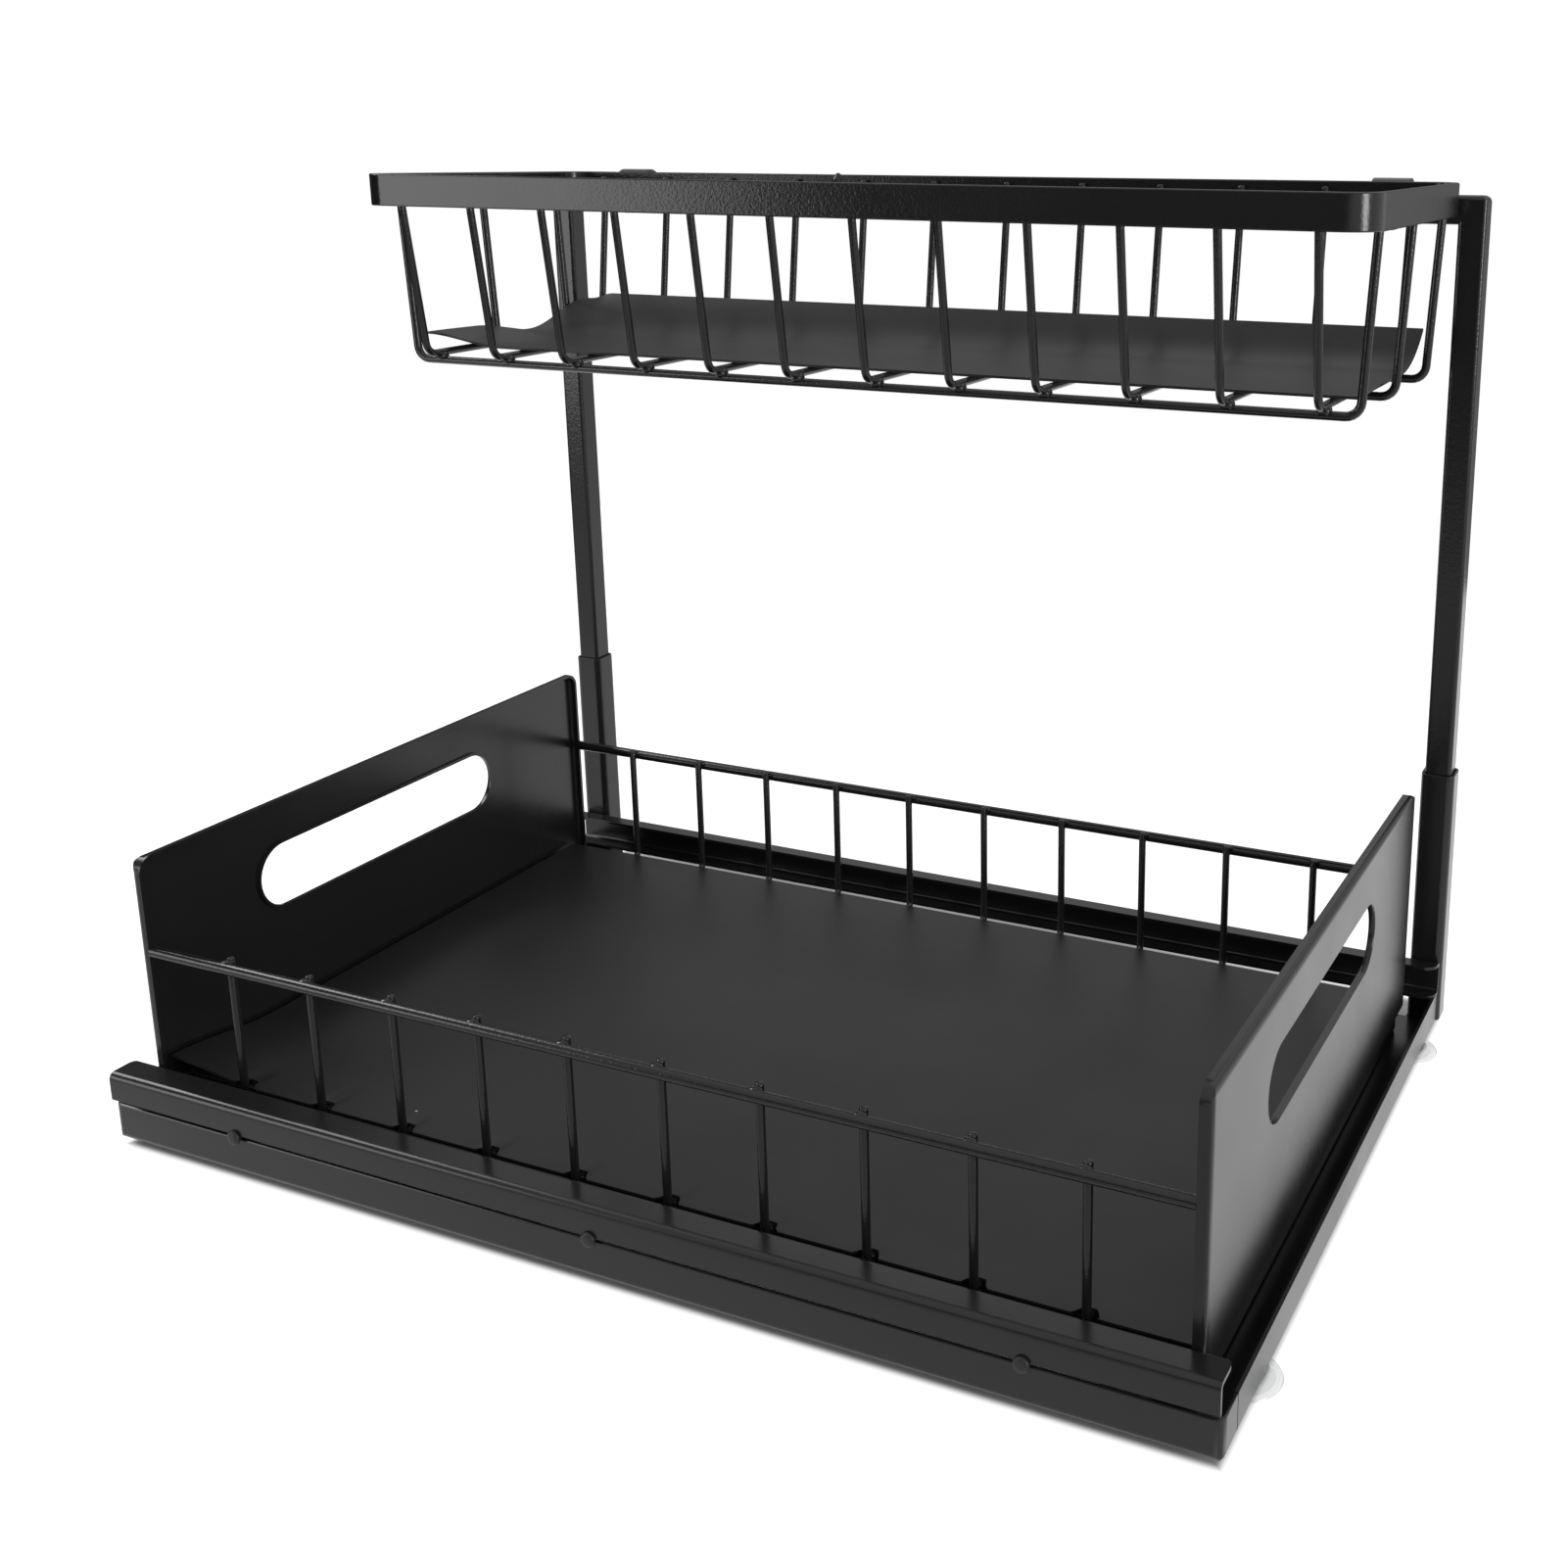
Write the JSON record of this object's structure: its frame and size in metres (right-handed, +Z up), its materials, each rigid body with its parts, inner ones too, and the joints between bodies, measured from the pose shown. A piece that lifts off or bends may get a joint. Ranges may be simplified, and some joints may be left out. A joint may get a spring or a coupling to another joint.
{
  "type": "under sink organizer",
  "caption": "Two-tier under sink organizer: a pull-out drawer with slotted sheet sides on a low base, under a wire basket hooked on a square-tube arch.",
  "frame": {"origin": "on the surface that the suction cups stand on, at the middle of the overall width and depth", "axes": "+X to the right seen from the front, +Y to the rear, away from the drawer's lip, +Z up"},
  "size_m": [0.4106, 0.2882, 0.3255],
  "materials": {
    "black_coat": "satin black powder coat with a fine texture",
    "mat_vinyl": "matte black vinyl",
    "clear_vinyl": "clear soft vinyl",
    "nylon": "dark nylon",
    "stud_rubber": "black rubber"
  },
  "bodies": {
    "base": {"left_base_rail": "black_coat", "right_base_rail": "black_coat", "front_band": "black_coat", "rear_beam": "black_coat", "left_sleeve": "black_coat", "right_sleeve": "black_coat", "left_track": "black_coat", "right_track": "black_coat", "left_support": "nylon", "right_support": "nylon", "suction_cups": "clear_vinyl"},
    "drawer": {"drawer_lip": "black_coat", "closing_studs": "stud_rubber", "left_panel": "black_coat", "right_panel": "black_coat", "left_glides": "nylon", "right_glides": "nylon", "front_rail": "black_coat", "rear_rail": "black_coat", "drawer_wire_01": "black_coat", "drawer_wire_02": "black_coat", "drawer_wire_03": "black_coat", "drawer_wire_04": "black_coat", "drawer_wire_05": "black_coat", "drawer_wire_06": "black_coat", "drawer_wire_07": "black_coat", "drawer_wire_08": "black_coat", "drawer_wire_09": "black_coat", "drawer_wire_10": "black_coat", "drawer_cross_wire_1": "black_coat", "drawer_cross_wire_2": "black_coat", "drawer_cross_wire_3": "black_coat"},
    "drawer_liner": {"drawer_mat": "mat_vinyl"},
    "upright": {"left_post": "black_coat", "right_post": "black_coat", "crossbar": "black_coat"},
    "basket": {"basket_rim": "black_coat", "left_hook": "black_coat", "right_hook": "black_coat", "basket_wire_01": "black_coat", "basket_wire_02": "black_coat", "basket_wire_03": "black_coat", "basket_wire_04": "black_coat", "basket_wire_05": "black_coat", "basket_wire_06": "black_coat", "basket_wire_07": "black_coat", "basket_wire_08": "black_coat", "basket_wire_09": "black_coat", "basket_wire_10": "black_coat", "basket_wire_11": "black_coat", "basket_wire_12": "black_coat", "basket_long_wire_1": "black_coat", "basket_long_wire_2": "black_coat", "basket_long_wire_3": "black_coat"},
    "basket_liner": {"basket_mat": "mat_vinyl"}
  },
  "joints": [
    {"name": "drawer_slide", "type": "slide", "parent": "base", "child": "drawer", "axis": [0, -1, 0], "range_m": [0, 0.16]},
    {"name": "drawer_mat_lift", "type": "slide", "parent": "drawer", "child": "drawer_liner", "axis": [0, 0, 1], "range_m": [0, 0.085]},
    {"name": "upright_lift", "type": "slide", "parent": "base", "child": "upright", "axis": [0, 0, 1], "range_m": [0, 0.105]},
    {"name": "basket_lift", "type": "slide", "parent": "upright", "child": "basket", "axis": [0, 0, 1], "range_m": [0, 0.03]},
    {"name": "basket_mat_lift", "type": "slide", "parent": "basket", "child": "basket_liner", "axis": [0, 0, 1], "range_m": [0, 0.07]}
  ]
}
